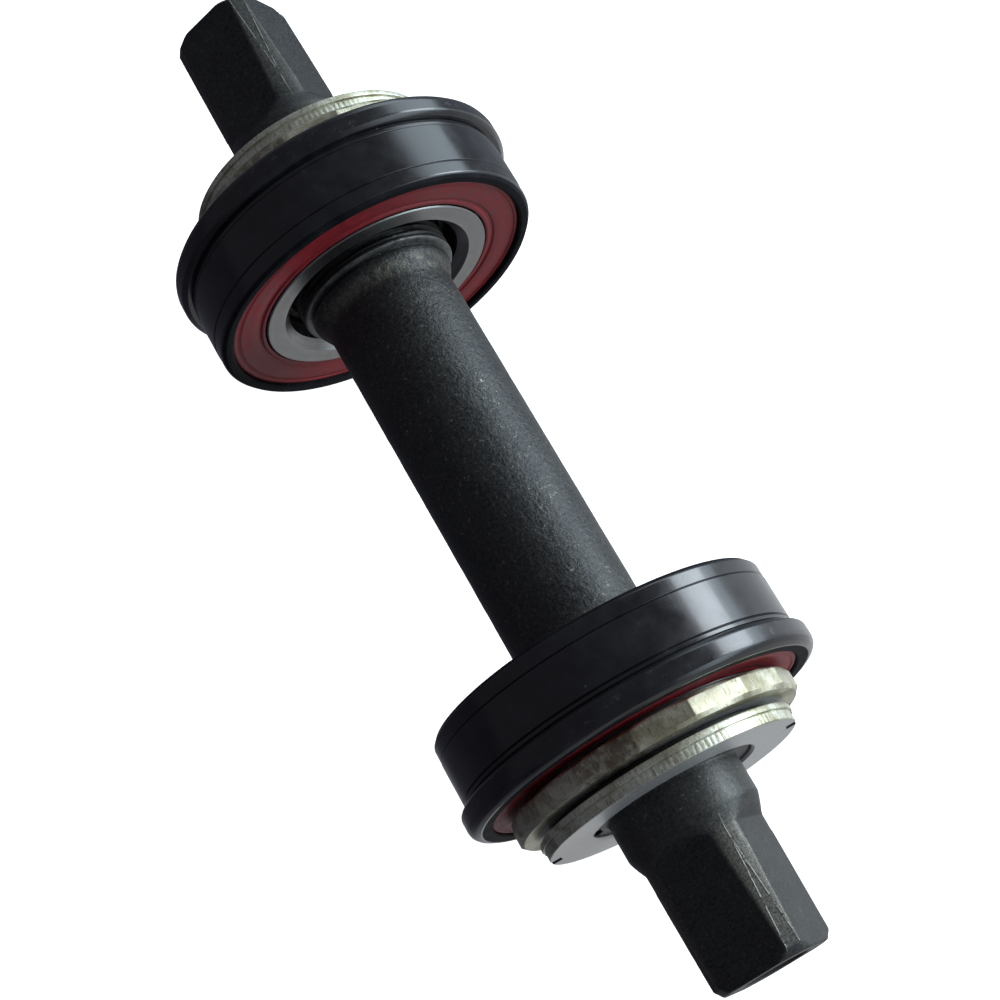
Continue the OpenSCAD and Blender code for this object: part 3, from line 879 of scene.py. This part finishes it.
def zinc(name, dull, bright, shine, shade_radius=0.0, stains=(), shaded_slots=False):
    """Worn zinc plate, coloured on the rim and neutral on the faces.

    Inside the shade radius it is painted black: painted shade for the dark gap within the inner ring's
    bore. Stains are (turn, width) pairs in degrees round the axis.
    """
    p = Paint(name)
    broad = p.noise(0.16, 4, 0.6, distort=0.6)
    fine = p.noise(1.9, 5, 0.65)
    lines = p.noise(6.0, 3, 0.6, p.rings)
    hatch = p.noise(1.3, 4, 0.7, stretch=(4.0, 0.6, 4.0))
    mottle = p.span(fine, 0.35, 0.7)
    rim = p.span(p.radius, 16.9, 17.05)
    neutral = p.blend(mottle, (0.68, 0.69, 0.68), (0.82, 0.82, 0.81))
    tone = p.blend(rim, neutral, p.blend(mottle, dull, bright))
    tone = p.blend(p.times(rim, p.span(broad, 0.46, 0.62, 0.0, 0.65)), tone, (0.27, 0.23, 0.12))
    tone = p.blend(p.times(rim, p.span(hatch, 0.54, 0.64, 0.0, 0.6)), tone, (0.15, 0.14, 0.09))
    turn = p.turn()
    for angle, wide in stains:
        away = p.math("ABSOLUTE", p.math("SUBTRACT", turn, angle))
        patch = p.span(away, wide * 0.5, wide * 0.62, 1.0, 0.0)
        patch = p.times(patch, p.span(p.noise(0.9, 5, 0.7), 0.36, 0.56))
        tone = p.blend(p.times(patch, 0.62, clamp=True), tone, (0.12, 0.075, 0.035))
    pits = p.span(p.cells(1.1), 0.05, 0.12, 1.0, 0.0)
    pits = p.times(pits, p.span(p.noise(0.5, 2), 0.5, 0.6), clamp=True)
    tone = p.blend(p.times(pits, 0.8), tone, (0.07, 0.06, 0.05))
    if shaded_slots:
        # painted shade: the slots darkened inside, where shade falls in the recesses
        apart = p.math("PINGPONG", p.math("SUBTRACT", turn, KEY_TURN), 90)
        sideways = p.times(p.radius, p.math("SINE", p.times(apart, math.pi / 180)))
        slot_shade = p.times(p.span(sideways, SLOT_HALF + 0.02, SLOT_HALF + 0.08, 1.0, 0.0),
                       p.span(p.radius, SLOT_FLOOR - 0.15, SLOT_FLOOR - 0.05))
        tone = p.blend(p.times(slot_shade, 0.9), tone, (0.03, 0.03, 0.03))
    # painted shade: black inside the given radius, for the dark gap where the nut's boss runs back through
    # the inner ring
    if shade_radius:
        bore_shade = p.span(p.radius, shade_radius, shade_radius + 0.2, 1.0, 0.0)
        tone = p.blend(bore_shade, tone, (0.02, 0.02, 0.02))
    rough = p.span(fine, 0.3, 0.7, shine, shine + 0.14)
    normal = p.bump(lines, 0.12, 0.012)
    normal = p.bump(fine, 0.2, 0.04, normal)
    normal = p.bump(p.times(rim, hatch), 0.35, 0.06, normal)
    return p.finish(Base_Color=tone, Roughness=rough, Metallic=0.8, Normal=normal)


def washer_steel():
    p = Paint("washer_steel")
    cloud = p.noise(0.8, 4, 0.6)
    # near black: a dark washer, its tone partly painted shade for the gap between the adjusting nut and the
    # lock nut
    tone = p.blend(p.span(cloud, 0.35, 0.65), (0.014, 0.014, 0.014), (0.035, 0.034, 0.032))
    normal = p.bump(p.noise(5.0, 4), 0.3, 0.03)
    rough = p.span(cloud, 0.3, 0.7, 0.4, 0.6)
    return p.finish(Base_Color=tone, Roughness=rough, Metallic=0.5, Normal=normal)


MATERIALS = {
    "black_oxide": black_oxide(), "black_gloss": black_gloss(), "bearing_steel": bearing_steel(),
    "ball_steel": ball_steel(), "cage_steel": cage_steel(), "seal_rubber": seal_rubber(),
    "zinc_plate": zinc("zinc_plate", (0.63, 0.61, 0.43), (0.8, 0.79, 0.7), 0.34, shade_radius=12.6,
                       stains=((-24.8, 22.5), (110, 30))),
    "washer_steel": washer_steel(),
}
# The lock nuts are a paler zinc than the adjusting nuts.
LOCK_FINISH = zinc("lock_nut_zinc", (0.71, 0.73, 0.56), (0.9, 0.92, 0.84), 0.36, shaded_slots=True)


def place(thing, body, slot, *nodes, finish=None):
    """Gives a piece its finish, and ties it to its body and to the CAD nodes that it stands for."""
    thing.data.materials.append(finish or MATERIALS[slot])
    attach(thing, body)
    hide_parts(*nodes)


place(make_spindle(), "spindle", "black_oxide", "spindle")
for name, side in SIDES.items():
    balls = "ball_set_" + name
    place(make_cup(name, side), "cups", "black_gloss", "cup_" + name)
    seal = lathe("seal_in_" + name, seal_corners(SEAL_IN, -1), side)
    place(seal, "cups", "seal_rubber", "inboard_seal_" + name)
    seal = lathe("seal_out_" + name, seal_corners(SEAL_OUT, 1), side)
    place(seal, "cups", "seal_rubber", "outboard_seal_" + name)
    place(make_outer_race(name, side), "cups", "bearing_steel", "outer_race_" + name)
    place(make_inner_race(name, side), "spindle", "bearing_steel", "inner_race_" + name)
    place(make_balls(name, side), balls, "ball_steel", "balls_" + name)
    place(make_cage("cage_in_" + name, side, -1), balls, "cage_steel", "inboard_cage_" + name)
    place(make_cage("cage_out_" + name, side, 1), balls, "cage_steel", "outboard_cage_" + name)
    place(make_rivets(name, side), balls, "cage_steel", "cage_rivets_" + name)
    place(make_adjusting_nut(name, side), "spindle", "zinc_plate", "adjusting_nut_" + name)
    place(make_washer(name, side), "spindle", "washer_steel", "tab_washer_" + name)
    nut = make_lock_nut(name, side, knurl_out=name == "right")
    place(nut, "spindle", "zinc_plate", "lock_nut_" + name, finish=LOCK_FINISH)


# ---- Studio ----

def make_floor():
    """A pale floor, and a room of the same white round it that no light or reflection meets."""
    bpy.ops.mesh.primitive_plane_add(size=12, location=(0, 0, cad_box[0].z - 0.00002))
    floor = bpy.context.object
    floor.name = "floor"
    bpy.ops.mesh.primitive_cube_add(size=8)
    room = bpy.context.object
    room.name = "backdrop"
    room.visible_shadow = False
    material = bpy.data.materials.new("floor_white")
    material.use_nodes = True
    tree = material.node_tree
    surface = tree.nodes["Principled BSDF"]
    surface.inputs["Base Color"].default_value = (0.9, 0.9, 0.9, 1)
    surface.inputs["Roughness"].default_value = 0.8
    surface.inputs["Emission Color"].default_value = (1, 1, 1, 1)
    surface.inputs["Emission Strength"].default_value = 1.05
    for thing in (floor, room):
        thing.data.materials.append(material)
        thing.visible_glossy = False
        thing.visible_diffuse = False


def add_light(name, azimuth, elevation, distance, size, power, color):
    """A soft box that faces the object. Azimuth is from +X towards +Y, in degrees."""
    a, e = math.radians(azimuth), math.radians(elevation)
    way = Vector((math.cos(a) * math.cos(e), math.sin(a) * math.cos(e), math.sin(e)))
    data = bpy.data.lights.new(name, "AREA")
    data.shape = "RECTANGLE"
    data.size, data.size_y = size
    data.energy = power
    data.color = color
    light = bpy.data.objects.new(name, data)
    light.location = way * distance
    light.rotation_mode = "QUATERNION"
    light.rotation_quaternion = way.to_track_quat("Z", "Y")
    bpy.context.scene.collection.objects.link(light)


def make_world():
    """The studio round the object: dim above, pale below the horizon, with a window low on the +X side."""
    world = bpy.data.worlds.new("studio")
    bpy.context.scene.world = world
    world.use_nodes = True
    g = Graph(world.node_tree)

    def step(value, low, high):
        return g.span(value, low, high, smooth=True)

    generated = g.node("ShaderNodeTexCoord").outputs["Generated"]
    x, y, z = g.node("ShaderNodeSeparateXYZ", Vector=generated).outputs
    colour = g.blend(step(x, -0.2, 0.9), (0.1, 0.1, 0.12), (0.15, 0.135, 0.12))
    window = g.times(step(x, 0.25, 0.75), g.times(step(z, 0.62, 0.42), step(z, -0.02, 0.04)))
    colour = g.blend(window, colour, (2.2, 2.6, 2.9))
    # below the horizon: dark on the -X side, pale on the +X side, and dimmer towards both ends of Y
    shore = g.blend(step(y, 0.5, 0.15), (0.18, 0.2, 0.23), (0.78, 0.82, 0.86))
    ground = g.blend(step(x, -0.5, 0.7), (0.05, 0.05, 0.065), shore)
    south = g.blend(step(y, -0.2, -0.4), (0.56, 0.57, 0.58), (0.42, 0.43, 0.44))
    ground = g.blend(g.times(step(y, 0.0, -0.18), step(x, -0.15, 0.1)), ground, south)
    colour = g.blend(step(z, 0.02, -0.04), colour, ground)
    background = world.node_tree.nodes["Background"]
    g.put(background.inputs["Color"], colour)
    background.inputs["Strength"].default_value = 1.0


make_floor()
bpy.context.scene.view_settings.view_transform = "Standard"
add_light("key", 0, 24, 0.7, (0.5, 0.28), 2.9, (0.86, 0.93, 1.0))
make_world()

camera_data = bpy.data.cameras.new("camera")
camera_data.lens = 68.76
camera_data.sensor_width = 36
camera_data.shift_y = 0.0606    # the object sits off the middle of the picture
camera_data.clip_start = 0.005
camera = bpy.data.objects.new("camera", camera_data)
bpy.context.scene.collection.objects.link(camera)
# It looks at a target from a distance along back. Azimuth is from -Y towards +X.
azimuth, elevation = math.radians(-28.54), math.radians(70.41)
target, distance = Vector((-0.0025, -0.0104, -0.0101)), 0.252
level = math.cos(elevation)
back = Vector((math.sin(azimuth) * level, -math.cos(azimuth) * level, math.sin(elevation)))
camera.location = target + back * distance
camera.rotation_mode = "QUATERNION"
camera.rotation_quaternion = back.to_track_quat("Z", "Y")
bpy.context.scene.camera = camera
